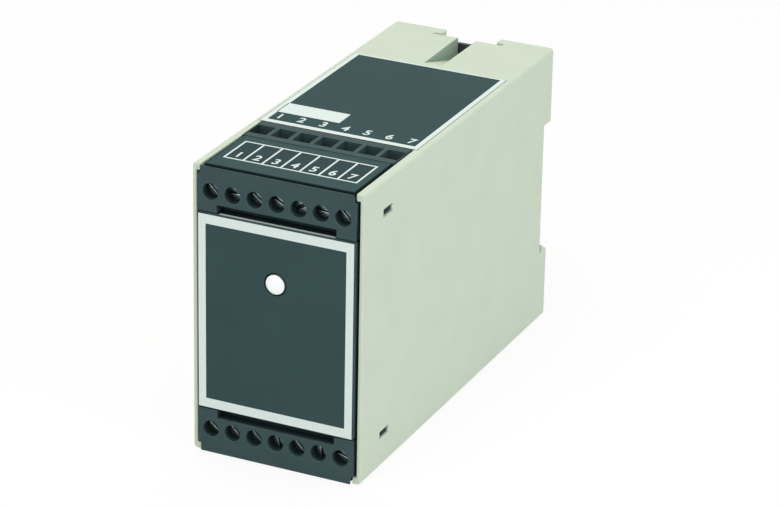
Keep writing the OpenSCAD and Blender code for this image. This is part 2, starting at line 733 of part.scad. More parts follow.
// A flat slider with a driver hole, a window for the spring and a nose behind the rail.
module rail_latch() color(slate) {
    nose_w = channel_w - 4 * slide_fit;
    wing_w = channel_w + 2 * groove_d - 4 * slide_fit;
    nose_y = seat_y + flange_slot + end_fit;
    difference() {
        centred(nose_w, [latch_y, latch_y + latch_t], [latch_z0, latch_z1]);
        centred(ramp_w, [latch_y - cut, latch_y + latch_t + cut], [hole_z, hole_z + driver_hole_h]);
        centred(shelf_w + 2 * seat_fit, [latch_y - cut, latch_y + latch_t + cut], [spring_z0, spring_window_z1]);
    }
    difference() {
        centred(wing_w, [latch_y, latch_y + latch_t], [spring_z0, spring_window_z1]);
        centred(nose_w - joined, [latch_y - cut, latch_y + latch_t + cut], [0, housing_h]);
    }
    along_x(-nose_w / 2, nose_w / 2) polygon([
        [latch_y, spring_z0], [nose_y + nose_t, spring_z0], [nose_y + nose_t, latch_z0],
        [nose_y + nose_t / 3, rail_z1 - nose_lip], [nose_y, rail_z1 - nose_lip], [nose_y, latch_z0],
        [latch_y, latch_z0]]);
}

// A coil swept along a helix, with its ends flush with the shelf and the latch.
module latch_spring() color(steel) translate([0, spring_y, 0]) {
    sides = 6;
    steps = 10 * spring_turns;
    wire_r = spring_wire / 2;
    rise = spring_z1 - spring_z0 - 2 * wire_r;
    points = [for (i = [0 : steps], k = [0 : sides - 1])
        let (a = 360 * spring_turns * i / steps, b = 360 * (k + 0.5) / sides, r = spring_r + wire_r * cos(b))
        [r * cos(a), r * sin(a), spring_z0 + wire_r + rise * i / steps + wire_r * sin(b)]];
    faces = [for (i = [0 : steps - 1], k = [0 : sides - 1])
        let (n = (k + 1) % sides) [i * sides + k, (i + 1) * sides + k, (i + 1) * sides + n, i * sides + n]];
    caps = [[for (k = [0 : sides - 1]) k], [for (k = [sides - 1 : -1 : 0]) steps * sides + k]];
    polyhedron(points, concat(faces, caps), convexity = spring_turns);
}

placed() housing();
placed() front_cover();
placed() front_label();
placed() top_label();
placed() terminal_block();  // upper_terminal_block
placed() at_bottom() terminal_block();  // lower_terminal_block
placed() marker_strip();  // upper_marker_strip
placed() at_bottom() marker_strip();  // lower_marker_strip
placed() contacts();  // upper_contacts
placed() at_bottom() contacts();  // lower_contacts
placed() status_led();
placed() led_leads();
placed() terminal_board();
placed() main_board();
placed() board_header();
placed() header_pins();
placed() transformer_core();
placed() transformer_bobbin();
placed() transformer_winding();
placed() dc_converter();
placed() smoothing_capacitors();
placed() amplifier_chips();
placed() voltage_regulator();
placed() translate([-trimmer_x, 0, 0]) trimmer();  // zero_trimmer
placed() translate([trimmer_x, 0, 0]) trimmer();  // span_trimmer
placed() translate([-trimmer_x, 0, 0]) trimmer_screw();  // zero_trimmer_screw
placed() translate([trimmer_x, 0, 0]) trimmer_screw();  // span_trimmer_screw
placed() rail_latch();
placed() latch_spring();
for (i = [0 : ways - 1]) {
    placed() terminal_screw(row[i], screw_angles[i]);
    placed() at_bottom() terminal_screw(row[i], screw_angles[ways + i]);
    placed() wire_clamp(row[i]);
    placed() at_bottom() wire_clamp(row[i]);
}
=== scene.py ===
import json
import math

import bmesh
import bpy
from mathutils import Matrix, Vector

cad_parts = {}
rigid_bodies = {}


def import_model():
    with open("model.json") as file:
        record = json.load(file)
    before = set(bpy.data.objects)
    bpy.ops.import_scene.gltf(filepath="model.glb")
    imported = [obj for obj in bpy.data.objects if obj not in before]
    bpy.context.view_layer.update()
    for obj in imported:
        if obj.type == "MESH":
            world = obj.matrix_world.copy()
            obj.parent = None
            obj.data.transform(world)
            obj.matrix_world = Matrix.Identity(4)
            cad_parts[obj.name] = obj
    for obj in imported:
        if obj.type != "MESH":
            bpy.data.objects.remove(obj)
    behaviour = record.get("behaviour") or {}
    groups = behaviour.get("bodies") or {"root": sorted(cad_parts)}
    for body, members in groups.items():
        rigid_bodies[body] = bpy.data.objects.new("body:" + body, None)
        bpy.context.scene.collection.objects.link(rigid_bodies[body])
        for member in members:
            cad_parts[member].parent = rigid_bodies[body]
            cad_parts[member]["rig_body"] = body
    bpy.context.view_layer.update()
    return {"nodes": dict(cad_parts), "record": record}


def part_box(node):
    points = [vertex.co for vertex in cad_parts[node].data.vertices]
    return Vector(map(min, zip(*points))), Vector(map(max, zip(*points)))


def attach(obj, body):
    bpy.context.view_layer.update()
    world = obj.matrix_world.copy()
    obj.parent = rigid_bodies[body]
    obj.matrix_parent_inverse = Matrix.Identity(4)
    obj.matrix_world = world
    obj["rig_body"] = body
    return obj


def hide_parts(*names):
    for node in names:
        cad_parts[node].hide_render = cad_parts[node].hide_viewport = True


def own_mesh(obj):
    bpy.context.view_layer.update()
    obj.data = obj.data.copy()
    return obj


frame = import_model()
nodes = frame["nodes"]
slotOf = {row["node"]: row["material_slot"] for row in frame["record"]["subparts"]}
scene = bpy.context.scene
mm = 0.001
black, white = (0, 0, 0, 1), (1, 1, 1, 1)
print("frame loaded:", len(nodes), "nodes")


def ink(red, green, blue):  # a colour as a paint chart gives it, turned into light
    def one(value):
        value /= 255
        return value / 12.92 if value <= 0.04045 else ((value + 0.055) / 1.055) ** 2.4
    return one(red), one(green), one(blue), 1.0


def feed(tree, value, socket):  # value: a number, a vector, a colour or another node's output
    if isinstance(value, bpy.types.NodeSocket):
        tree.links.new(value, socket)
    else:
        socket.default_value = value


def addNode(tree, kind, values=None, **settings):
    made = tree.nodes.new(kind)
    for key, value in settings.items():
        setattr(made, key, value)
    for key, value in (values or {}).items():
        feed(tree, value, made.inputs[key])
    return made


def calc(tree, operation, first, second=0.0, clamp=False):
    settings = {"operation": operation, "use_clamp": clamp}
    return addNode(tree, "ShaderNodeMath", {0: first, 1: second}, **settings).outputs[0]


def vector(tree, x, y, z):
    return addNode(tree, "ShaderNodeCombineXYZ", {0: x, 1: y, 2: z}).outputs[0]


def objectPlace(tree):
    return addNode(tree, "ShaderNodeTexCoord").outputs["Object"]


def splitPlace(tree, place):
    return addNode(tree, "ShaderNodeSeparateXYZ", {0: place}).outputs


def noiseOn(tree, place, scale, form):
    values = {"Vector": place, "Scale": scale, "Detail": form[0], "Roughness": form[1]}
    return addNode(tree, "ShaderNodeTexNoise", values).outputs[0]


def rampOf(tree, value, start, full):
    return addNode(tree, "ShaderNodeMapRange", {"Value": value, "From Min": start, "From Max": full}).outputs[0]


def makeGroup(name, ins, outs):
    group = bpy.data.node_groups.new(name, "ShaderNodeTree")
    for label, value in ins.items():
        socket = group.interface.new_socket(name=label, in_out="INPUT", socket_type="NodeSocketFloat")
        socket.default_value = value
    for label in outs:
        group.interface.new_socket(name=label, in_out="OUTPUT", socket_type="NodeSocketFloat")
    return group, group.nodes.new("NodeGroupInput").outputs, group.nodes.new("NodeGroupOutput").inputs


noiseForms = {"grain": (3.0, 0.6), "cloud": (4.0, 0.55), "wearAndGlintSpots": (5.0, 0.65),  # detail and roughness
              "handled": (6.0, 0.6), "drawn": (4.0, 0.7)}
noiseMean, spotsFrom, spotsFull = 0.5, 0.4, 0.7  # values of a noise


def makeMouldGrain():  # fine spark-eroded texture and the faint clouds of a moulding
    group, given, result = makeGroup("mouldGrain", {"Grain": 3500.0, "Cloud": 90.0}, ["Height", "Cloud"])
    place = objectPlace(group)
    feed(group, noiseOn(group, place, given["Grain"], noiseForms["grain"]), result["Height"])
    feed(group, noiseOn(group, place, given["Cloud"], noiseForms["cloud"]), result["Cloud"])
    return group


def makeEdgeWearAndGlint():  # handled edges, where the bevel faces carry the mark "edge"; on the screws the same mask lays painted glints
    group, given, result = makeGroup("edgeWearAndGlint", {"Patch": 260.0, "Amount": 0.5}, ["Mask"])
    mark = addNode(group, "ShaderNodeAttribute", attribute_name="edge").outputs["Fac"]
    cloud = noiseOn(group, objectPlace(group), given["Patch"], noiseForms["wearAndGlintSpots"])
    wearAndGlintSpots = calc(group, "MULTIPLY", rampOf(group, cloud, spotsFrom, spotsFull), mark)
    feed(group, calc(group, "MULTIPLY", wearAndGlintSpots, given["Amount"]), result["Mask"])
    return group


def makeHandling():  # smooth and dull patches from handling
    ins = {"Roughness": 0.5, "Spread": 0.15, "Patch": 120.0}
    group, given, result = makeGroup("handling", ins, ["Roughness"])
    cloud = noiseOn(group, objectPlace(group), given["Patch"], noiseForms["handled"])
    change = calc(group, "MULTIPLY", calc(group, "SUBTRACT", cloud, noiseMean), given["Spread"])
    feed(group, calc(group, "ADD", change, given["Roughness"], clamp=True), result["Roughness"])
    return group


def makeDrawnMarks():  # fine lines along Y, as on turned, drawn or rolled metal
    group, given, result = makeGroup("drawnMarks", {"Fine": 9000.0, "Long": 500.0}, ["Height"])
    parts = splitPlace(group, objectPlace(group))
    sizes = (("X", "Fine"), ("Y", "Long"), ("Z", "Fine"))
    scaled = [calc(group, "MULTIPLY", parts[axis], given[size]) for axis, size in sizes]
    feed(group, noiseOn(group, vector(group, *scaled), 1.0, noiseForms["drawn"]), result["Height"])
    return group


def makeInsideShade():  # painted shade on the walls of holes behind the front, away from the top and bottom faces, and on the ends beside dark gaps
    ins = {"Start": 0.0, "Full": 0.001, "Stop": 0.1, "Middle": 0.04, "Reach": 0.04, "Amount": 0.8,
           "Side": 1.0, "Behind": 1.0}
    group, given, result = makeGroup("insideShade", ins, ["Mask"])
    parts = splitPlace(group, objectPlace(group))
    deep = rampOf(group, parts["Y"], given["Start"], given["Full"])
    ahead = calc(group, "LESS_THAN", parts["Y"], given["Stop"])
    away = calc(group, "ABSOLUTE", calc(group, "SUBTRACT", parts["Z"], given["Middle"]))
    within = calc(group, "LESS_THAN", away, given["Reach"])
    hole = calc(group, "MULTIPLY", calc(group, "MULTIPLY", deep, ahead), within)
    end = calc(group, "GREATER_THAN", calc(group, "ABSOLUTE", parts["X"]), given["Side"])
    gap = calc(group, "MULTIPLY", end, calc(group, "GREATER_THAN", parts["Y"], given["Behind"]))
    either = calc(group, "MAXIMUM", hole, gap)
    feed(group, calc(group, "MULTIPLY", either, given["Amount"]), result["Mask"])
    return group


mouldGrain, edgeWearAndGlint, handling = makeMouldGrain(), makeEdgeWearAndGlint(), makeHandling()
drawnMarks, insideShade = makeDrawnMarks(), makeInsideShade()


def startMaterial(name):
    material = bpy.data.materials.new(name)
    material.use_nodes = True
    material.node_tree.nodes.clear()
    return material, material.node_tree


def useGroup(tree, group, values):
    return addNode(tree, "ShaderNodeGroup", values, node_tree=group).outputs


def mixColour(tree, factor, first, second):
    settings = {"data_type": "RGBA", "clamp_factor": True}
    return addNode(tree, "ShaderNodeMix", {0: factor, 6: first, 7: second}, **settings).outputs[2]


def grainOf(tree, look):
    return useGroup(tree, mouldGrain, {"Grain": look["grain"], "Cloud": look["cloud"]})


def feelOf(tree, look):
    values = {"Roughness": look["rough"], "Spread": look["spread"], "Patch": look["patch"]}
    return useGroup(tree, handling, values)[0]


def wearAndGlintColour(tree, body, look):  # paler where the edges were handled; on the screws the near-white edges are painted glints
    wearAndGlintSpots = useGroup(tree, edgeWearAndGlint, {"Amount": look["wearAndGlint"], "Patch": look["wearAndGlintPatch"]})
    return mixColour(tree, wearAndGlintSpots[0], body, look["edge"])


def closeMaterial(tree, values, height, look):  # one shader, with the height pressed into its surface
    pressed = {"Height": height, "Strength": look["press"], "Distance": look["depth"] * mm}
    normal = addNode(tree, "ShaderNodeBump", pressed).outputs[0]
    shader = addNode(tree, "ShaderNodeBsdfPrincipled", {**values, "Normal": normal})
    addNode(tree, "ShaderNodeOutputMaterial", {"Surface": shader.outputs[0]})


plasticCommon = {"cloud": 90.0, "wearAndGlint": 0.4, "wearAndGlintPatch": 260.0, "spread": 0.16, "patch": 120.0,
                 "shine": 0.4, "press": 0.35, "depth": 0.04}  # depth in mm
plasticLooks = {  # start to behind: mm from the front of the terminal blocks, under and side in mm
    "cream_plastic": {"dark": ink(207, 218, 200), "light": ink(216, 227, 208), "edge": ink(226, 235, 218),
                      "grain": 3200.0, "rough": 0.55, "wearAndGlint": 0.35, "press": 0.3, "shine": 0.25,
                      # painted shade: the darker cream for the walls of the driver ramp
                      "recess": ink(150, 168, 149)},
    "slate_plastic": {"dark": ink(56, 75, 77), "light": ink(66, 87, 89), "edge": ink(92, 113, 114),
                      "grain": 3600.0, "rough": 0.55, "wearAndGlint": 0.45, "press": 0.4, "shine": 0.12,
                      # the inside colour, its amount and the side limit paint shade in the holes and at the
                      # block ends
                      "inside": ink(30, 46, 49), "start": 0.2, "full": 1.6, "stop": 20.0, "under": 0.2,
                      "much": 0.8, "side": 19.7, "behind": 20.0},
    "label_film": {"dark": ink(55, 76, 78), "light": ink(62, 84, 86), "edge": ink(88, 108, 108),
                   "grain": 5200.0, "rough": 0.6, "wearAndGlint": 0.2, "press": 0.2, "cloud": 60.0, "shine": 0.04},
    "marker_plastic": {"dark": ink(57, 80, 81), "light": ink(65, 89, 89), "edge": ink(90, 112, 112),
                       "grain": 4200.0, "rough": 0.6, "wearAndGlint": 0.3, "press": 0.25, "shine": 0.04,
                       # the inside colour, its amount and the side limit paint shade in the seam in front of
                       # the strip and at its ends
                       "inside": ink(20, 31, 33), "start": -2.0, "full": -1.0, "stop": 40.0, "under": 0.12,
                       "much": 0.9, "side": 19.35, "behind": -2.0},
    "header_plastic": {"dark": ink(26, 27, 29), "light": ink(36, 37, 40), "edge": ink(58, 59, 62),
                       "grain": 4200.0, "rough": 0.5},
    "bobbin_plastic": {"dark": ink(214, 204, 176), "light": ink(226, 217, 192), "edge": ink(236, 229, 208),
                       "grain": 3000.0, "rough": 0.45},
    "potting_plastic": {"dark": ink(29, 30, 33), "light": ink(41, 42, 45), "edge": ink(66, 66, 69),
                        "grain": 2600.0, "rough": 0.58, "press": 0.6},
    "trimmer_plastic": {"dark": ink(36, 84, 166), "light": ink(48, 100, 184), "edge": ink(92, 138, 206),
                        "grain": 4000.0, "rough": 0.32, "press": 0.15},
    "latch_plastic": {"dark": ink(46, 51, 54), "light": ink(57, 63, 66), "edge": ink(86, 92, 95),
                      "grain": 3400.0, "rough": 0.48, "press": 0.4},
    "ferrite": {"dark": ink(48, 48, 50), "light": ink(64, 64, 67), "edge": ink(92, 92, 94),
                "grain": 6200.0, "cloud": 700.0, "rough": 0.6, "press": 0.8},
}


def shadeInside(tree, colour, look):  # painted shade: darker walls in the holes and at the ends of blocks and strips, where shadow falls in the holes and gaps
    low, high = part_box("housing")
    middle, front = (low.z + high.z) / 2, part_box("upper_terminal_block")[0].y
    values = {key.capitalize(): front + look[key] * mm for key in ("start", "full", "stop", "behind")}
    values.update({"Middle": middle, "Reach": high.z - middle - look["under"] * mm,
                   "Amount": look["much"], "Side": look["side"] * mm})
    return mixColour(tree, useGroup(tree, insideShade, values)[0], colour, look["inside"])


def mouldedFinish(name, look):
    look = {**plasticCommon, **look}
    material, tree = startMaterial(name)
    grain = grainOf(tree, look)
    colour = wearAndGlintColour(tree, mixColour(tree, grain["Cloud"], look["dark"], look["light"]), look)
    if "inside" in look:
        colour = shadeInside(tree, colour, look)
    # painted shade on the marked walls of the driver ramp
    if "recess" in look:
        mark = addNode(tree, "ShaderNodeAttribute", attribute_name="recess").outputs["Fac"]
        colour = mixColour(tree, mark, colour, look["recess"])
    values = {"Base Color": colour, "Roughness": feelOf(tree, look), "Specular IOR Level": look["shine"]}
    closeMaterial(tree, values, grain["Height"], look)
    return material


metalCommon = {"fine": 9000.0, "long": 500.0, "wearAndGlint": 0.5, "wearAndGlintPatch": 900.0, "spread": 0.2, "patch": 700.0,
               "press": 0.3, "depth": 0.02}  # depth in mm
metalLooks = {
    # painted shade and reflection: the screw steel is darkened and tinted blue-grey as in its dark hole, and
    # its near-white edge colour is a painted glint
    "screw_steel": {"dark": ink(98, 115, 116), "light": ink(138, 154, 153), "edge": ink(246, 250, 246),
                    "rough": 0.24, "wearAndGlint": 0.9},
    "clamp_steel": {"dark": ink(186, 186, 182), "light": ink(214, 214, 211), "edge": ink(236, 236, 233),
                    "rough": 0.34},
    "contact_brass": {"dark": ink(205, 188, 138), "light": ink(224, 210, 168), "edge": ink(240, 230, 196),
                      "rough": 0.36},
    "lead_wire": {"dark": ink(196, 197, 198), "light": ink(220, 221, 222), "edge": ink(238, 238, 238),
                  "rough": 0.3},
    "trimmer_brass": {"dark": ink(204, 170, 92), "light": ink(226, 196, 122), "edge": ink(244, 222, 160),
                      "rough": 0.3},
    "spring_steel": {"dark": ink(150, 151, 153), "light": ink(190, 191, 193), "edge": ink(220, 220, 221),
                     "rough": 0.34, "long": 4000.0},
}


def metalFinish(name, look):
    look = {**metalCommon, **look}
    material, tree = startMaterial(name)
    marks = useGroup(tree, drawnMarks, {"Fine": look["fine"], "Long": look["long"]})[0]
    colour = wearAndGlintColour(tree, mixColour(tree, marks, look["dark"], look["light"]), look)
    values = {"Base Color": colour, "Roughness": feelOf(tree, look), "Metallic": 1.0}
    closeMaterial(tree, values, marks, look)
    return material


finishes = {slot: mouldedFinish(slot, look) for slot, look in plasticLooks.items()}
finishes.update({slot: metalFinish(slot, look) for slot, look in metalLooks.items()})


# the dark ring colour around the lens is painted shade for the gap in shadow
lampLook = {"milk": ink(241, 250, 250), "core": ink(249, 255, 255), "rim": ink(20, 32, 34),
            "unlit": ink(0, 0, 0), "lens": 2.46, "glow": 0.12,  # lens, scatterDepth and depth in mm
            "scatter": 0.2, "scatterDepth": 1.2, "coat": 0.4, "grain": 900.0, "cloud": 420.0,
            "rough": 0.26, "spread": 0.08, "patch": 500.0, "press": 0.08, "depth": 0.03}


def lampFinish(name, look):  # milky lens that glows a little, in a dark rim of painted shade for the shadowed gap around it
    material, tree = startMaterial(name)
    grain = grainOf(tree, look)
    low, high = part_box("status_led")
    axis = vector(tree, (low.x + high.x) / 2, 0.0, (low.z + high.z) / 2)
    levelled = {0: objectPlace(tree), 1: (1.0, 0.0, 1.0)}
    flat = addNode(tree, "ShaderNodeVectorMath", levelled, operation="MULTIPLY").outputs[0]
    apart = addNode(tree, "ShaderNodeVectorMath", {0: flat, 1: axis}, operation="DISTANCE").outputs["Value"]
    # painted shade: outside the lens the colour is dark, as the gap around it lies in shadow
    rim = calc(tree, "GREATER_THAN", apart, look["lens"] * mm)
    milky = mixColour(tree, grain["Cloud"], look["milk"], look["core"])
    values = {"Base Color": mixColour(tree, rim, milky, look["rim"]), "Roughness": feelOf(tree, look),
              "Emission Color": mixColour(tree, rim, look["core"], look["unlit"]),
              "Emission Strength": look["glow"], "Subsurface Weight": look["scatter"],
              "Subsurface Scale": look["scatterDepth"] * mm, "Coat Weight": look["coat"]}
    closeMaterial(tree, values, grain["Height"], look)
    return material


boardLook = {"resist": ink(24, 92, 58), "track": ink(44, 124, 76), "pad": ink(206, 204, 190),
             "pitch": 2.54, "run": 5, "line": 0.22,  # mm, tracks of five steps
             "padSize": 0.2, "padFrom": 0.53,  # share of a step, and the cloud value from which pads show
             "grain": 2400.0, "cloud": 260.0, "rough": 0.3, "spread": 0.12, "patch": 120.0,
             "press": 0.4, "depth": 0.03}


def boardFinish(name, look):  # resist over raised tracks, with tinned pads on the grid
    material, tree = startMaterial(name)
    pitch, quarter = look["pitch"] * mm, math.radians(90)
    turning = {"Vector": objectPlace(tree), "Rotation": (quarter, 0, quarter)}
    place = addNode(tree, "ShaderNodeMapping", turning).outputs[0]
    laying = {"Vector": place, "Scale": 1.0, "Mortar Size": look["line"] * mm,
              "Brick Width": pitch * look["run"], "Row Height": pitch,
              "Color1": black, "Color2": black, "Mortar": white}
    tracks = addNode(tree, "ShaderNodeTexBrick", laying).outputs["Color"]
    dotting = {"Vector": place, "Scale": 1 / pitch, "Randomness": 0.0}
    dots = addNode(tree, "ShaderNodeTexVoronoi", dotting).outputs["Distance"]
    pads = calc(tree, "LESS_THAN", dots, look["padSize"])
    chance = calc(tree, "GREATER_THAN", grainOf(tree, look)["Cloud"], look["padFrom"])
    laid = mixColour(tree, tracks, look["resist"], look["track"])
    colour = mixColour(tree, calc(tree, "MULTIPLY", pads, chance), laid, look["pad"])
    closeMaterial(tree, {"Base Color": colour, "Roughness": feelOf(tree, look)}, tracks, look)
    return material


# the darker valley colour between the turns is painted shade
windingLook = {"valleyShade": ink(112, 52, 22), "wire": ink(204, 118, 62), "turn": 0.4,  # turn and depth in mm
               "metal": 0.75, "uneven": 0.6, "rough": 0.3, "spread": 0.14, "patch": 400.0,
               "press": 0.8, "depth": 0.4 / 3}
waveLength = 0.314  # a wave texture of scale 1 repeats after this length


def windingFinish(name, look):  # enamelled turns side by side along Y, with painted shade in the valleys between them
    material, tree = startMaterial(name)
    winding = {"Vector": objectPlace(tree), "Scale": waveLength / (look["turn"] * mm),
               "Distortion": look["uneven"], "Detail": 1.0}
    turns = addNode(tree, "ShaderNodeTexWave", winding, bands_direction="Y").outputs["Fac"]
    values = {"Base Color": mixColour(tree, turns, look["valleyShade"], look["wire"]),
              "Roughness": feelOf(tree, look), "Metallic": look["metal"]}
    closeMaterial(tree, values, turns, look)
    return material


sleeveLook = {"sleeve": ink(38, 46, 86), "stripe": ink(186, 190, 196), "can": ink(200, 201, 203),
              "capX": 5.5, "stripeZ": 17.6,  # mm, where the can is bare and where the stripe starts
              "grain": 1500.0, "cloud": 200.0, "rough": 0.26, "spread": 0.12, "patch": 120.0,
              "press": 0.12, "depth": 0.03}


def sleeveFinish(name, look):  # shrunk sleeve with a pale stripe, and the bare end of the can
    material, tree = startMaterial(name)
    parts = splitPlace(tree, objectPlace(tree))
    stripe = calc(tree, "GREATER_THAN", parts["Z"], look["stripeZ"] * mm)
    can = calc(tree, "GREATER_THAN", parts["X"], look["capX"] * mm)
    striped = mixColour(tree, stripe, look["sleeve"], look["stripe"])
    values = {"Base Color": mixColour(tree, can, striped, look["can"]), "Metallic": can,
              "Roughness": feelOf(tree, look)}
    closeMaterial(tree, values, grainOf(tree, look)["Height"], look)
    return material


printCommon = {"grain": 4200.0, "cloud": 1200.0, "spread": 0.1, "patch": 300.0,
               "press": 0.15, "depth": 0.01}  # depth in mm
printLook = {"pale": ink(222, 235, 231), "thin": ink(232, 243, 240), "rough": 0.55, "shine": 0.25}
fillLook = {"pale": ink(47, 67, 70), "thin": ink(54, 75, 78), "rough": 0.6, "shine": 0.04}


def printFinish(name, look):  # screen ink with an uneven film
    look = {**printCommon, **look}
    material, tree = startMaterial(name)
    grain = grainOf(tree, look)
    values = {"Base Color": mixColour(tree, grain["Cloud"], look["pale"], look["thin"]),
              "Roughness": feelOf(tree, look), "Specular IOR Level": look["shine"]}
    closeMaterial(tree, values, grain["Height"], look)
    return material


finishes["lamp_plastic"] = lampFinish("lamp_plastic", lampLook)
finishes["board_laminate"] = boardFinish("board_laminate", boardLook)
finishes["copper_wire"] = windingFinish("copper_wire", windingLook)
finishes["capacitor_sleeve"] = sleeveFinish("capacitor_sleeve", sleeveLook)
paleInk, boxInk = printFinish("paleInk", printLook), printFinish("boxInk", fillLook)
print("finishes made:", len(finishes), "and two inks")


def linkPiece(mesh, name):
    piece = bpy.data.objects.new(name, mesh)
    scene.collection.objects.link(piece)
    return piece


def plainMesh(piece, name):  # the evaluated shape as a mesh of its own
    graph = bpy.context.evaluated_depsgraph_get()
    seen = piece.evaluated_get(graph)
    mesh = bpy.data.meshes.new_from_object(seen, preserve_all_data_layers=True, depsgraph=graph)
    mesh.name = name
    return mesh


softEdges = {  # width of the rounded edges in mm; the rest take "other"
    "housing": 0.28, "front_cover": 0.3, "upper_terminal_block": 0.2, "lower_terminal_block": 0.2,
    "upper_marker_strip": 0.12, "lower_marker_strip": 0.12, "rail_latch": 0.16, "status_led": 0.08,
    "front_label": 0.05, "top_label": 0.05, "transformer_core": 0.2, "transformer_bobbin": 0.15,
    "transformer_winding": 0.1, "dc_converter": 0.3, "smoothing_capacitors": 0.25, "voltage_regulator": 0.12,
    "amplifier_chips": 0.12, "zero_trimmer": 0.2, "span_trimmer": 0.2, "main_board": 0.1, "terminal_board": 0.1,
    "screw": 0.12, "clamp": 0.14, "other": 0.06}
softReach = {"upper_terminal_block": 4.0, "lower_terminal_block": 4.0,  # mm from the front that is rounded
             "other": 1000.0}
sharpFrom, flatBelow = math.radians(30), math.radians(0.5)  # turns from one face to the next
weldWithin, edgeSteps = 1e-6, 2  # m, and the faces across a rounded edge
cutRoom = {"most": 1.0, "share": 0.45, "least": 0.05,  # m, share of the next edge, least sine of its angle
           "straight": -0.85}  # below this cosine an edge runs straight on


def roomFor(edge):  # most that this edge can be cut back without meeting another cut
    room = cutRoom["most"]
    for corner in edge.verts:
        along = (edge.other_vert(corner).co - corner.co).normalized()
        for face in edge.link_faces:
            for side in corner.link_edges:
                if side is edge or side not in face.edges:
                    continue
                reach = side.other_vert(corner).co - corner.co
                if along.dot(reach.normalized()) < cutRoom["straight"]:
                    continue
                slant = max(along.cross(reach.normalized()).length, cutRoom["least"])
                room = min(room, cutRoom["share"] * reach.length * slant)
    return room


def weighedMesh(node, width):  # the node's solid, with a bevel weight on each edge to round
    source = nodes[node].data
    shape = bmesh.new()
    corners = [shape.verts.new(v.co) for v in source.vertices]
    for face in source.polygons:
        shape.faces.new([corners[i] for i in face.vertices])
    bmesh.ops.remove_doubles(shape, verts=shape.verts, dist=weldWithin)
    bmesh.ops.dissolve_limit(shape, angle_limit=flatBelow, verts=shape.verts, edges=shape.edges)
    share = shape.edges.layers.float.new("bevel_weight_edge")
    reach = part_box(node)[0].y + softReach.get(node, softReach["other"]) * mm
    for edge in shape.edges:
        if len(edge.link_faces) != 2 or edge.calc_face_angle() <= sharpFrom:
            continue
        if edge.is_convex and max(v.co.y for v in edge.verts) <= reach:
            edge[share] = min(1.0, roomFor(edge) / width)
        else:
            edge.smooth = False
    for face in shape.faces:
        face.smooth = True
    mesh = bpy.data.meshes.new(node + "_raw")
    shape.to_mesh(mesh)
    shape.free()
    return mesh


def softenedCopy(node, width):
    mesh = weighedMesh(node, width)
    for _ in range(2):  # the second place marks the bevel faces
        mesh.materials.append(finishes[slotOf[node]])
    rough = linkPiece(mesh, node + "_raw")
    cut = rough.modifiers.new("edges", "BEVEL")
    cut.limit_method, cut.width, cut.segments, cut.material = "WEIGHT", width, edgeSteps, 1
    cut.use_clamp_overlap = False
    rough.modifiers.new("shade", "WEIGHTED_NORMAL").keep_sharp = True
    done = plainMesh(rough, node + "_finish")
    mark = done.attributes.new("edge", "FLOAT", "FACE")
    mark.data.foreach_set("value", [1.0 if face.material_index == 1 else 0.0 for face in done.polygons])
    done.polygons.foreach_set("material_index", [0] * len(done.polygons))
    done.materials.pop(index=1)
    bpy.data.objects.remove(rough)
    bpy.data.meshes.remove(mesh)
    piece = linkPiece(done, node + "_finish")
    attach(piece, nodes[node]["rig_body"])
    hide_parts(node)
    return piece


def edgeOf(node):
    kinds = {"terminal_screw": "screw", "wire_clamp": "clamp"}
    kind = next((kinds[start] for start in kinds if node.startswith(start)), node)
    return softEdges.get(kind, softEdges["other"]) * mm


finished = {node: softenedCopy(node, edgeOf(node)) for node in sorted(nodes) if node != "latch_spring"}
print("edges rounded:", len(finished), "pieces")


# painted shade on the walls of the driver ramp, which lie in shadow
rampShadeWalls = {"half": 2.6, "deep": 8.0, "long": 30.0,  # mm, the space of the driver ramp
             "across": 0.7}  # faces that look along X more than this are its walls


def markRampShade(mesh, look):
    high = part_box("housing")[1]
    half, floor, front = look["half"] * mm, high.z - look["deep"] * mm, high.y - look["long"] * mm
    mark = mesh.attributes.new("recess", "FLOAT", "FACE")
    for face in mesh.polygons:
        at = face.center
        inside = abs(at.x) < half and at.z > floor and at.y > front
        mark.data[face.index].value = 1.0 if inside and abs(face.normal.x) > look["across"] else 0.0


markRampShade(finished["housing"].data, rampShadeWalls)


def geometryTree(name, ins):
    tree = bpy.data.node_groups.new(name, "GeometryNodeTree")
    for label, value in ins.items():
        kind = "NodeSocketInt" if isinstance(value, int) else "NodeSocketFloat"
        tree.interface.new_socket(name=label, in_out="INPUT", socket_type=kind).default_value = value
    tree.interface.new_socket(name="Finish", in_out="INPUT", socket_type="NodeSocketMaterial")
    tree.interface.new_socket(name="Geometry", in_out="OUTPUT", socket_type="NodeSocketGeometry")
    return tree, tree.nodes.new("NodeGroupInput").outputs, tree.nodes.new("NodeGroupOutput").inputs


def closeTree(tree, shape, given, result):  # one real mesh in one finish
    real = addNode(tree, "GeometryNodeRealizeInstances", {0: shape}).outputs[0]
    painted = addNode(tree, "GeometryNodeSetMaterial", {"Geometry": real, "Material": given["Finish"]})
    feed(tree, painted.outputs[0], result[0])
    return tree


def runTree(tree, name, values):  # the tree's result as a plain mesh
    holder = linkPiece(bpy.data.meshes.new(name + "_holder"), name + "_holder")
    run = holder.modifiers.new("make", "NODES")
    run.node_group = tree
    known = {item.name: item.identifier for item in tree.interface.items_tree if item.in_out == "INPUT"}
    for label, value in values.items():
        run[known[label]] = value
    mesh = plainMesh(holder, name)
    bpy.data.objects.remove(holder)
    return mesh


springLook = {"turns": 6.0, "radius": 1.5, "wire": 0.22, "travel": 3.0, "seat": 0.5,  # mm
              "steps": 40, "sides": 10,  # points in a turn and around the wire
              "closing": ((0.17, 0.06), (0.83, 0.94))}  # share of the wire and of the height it has reached


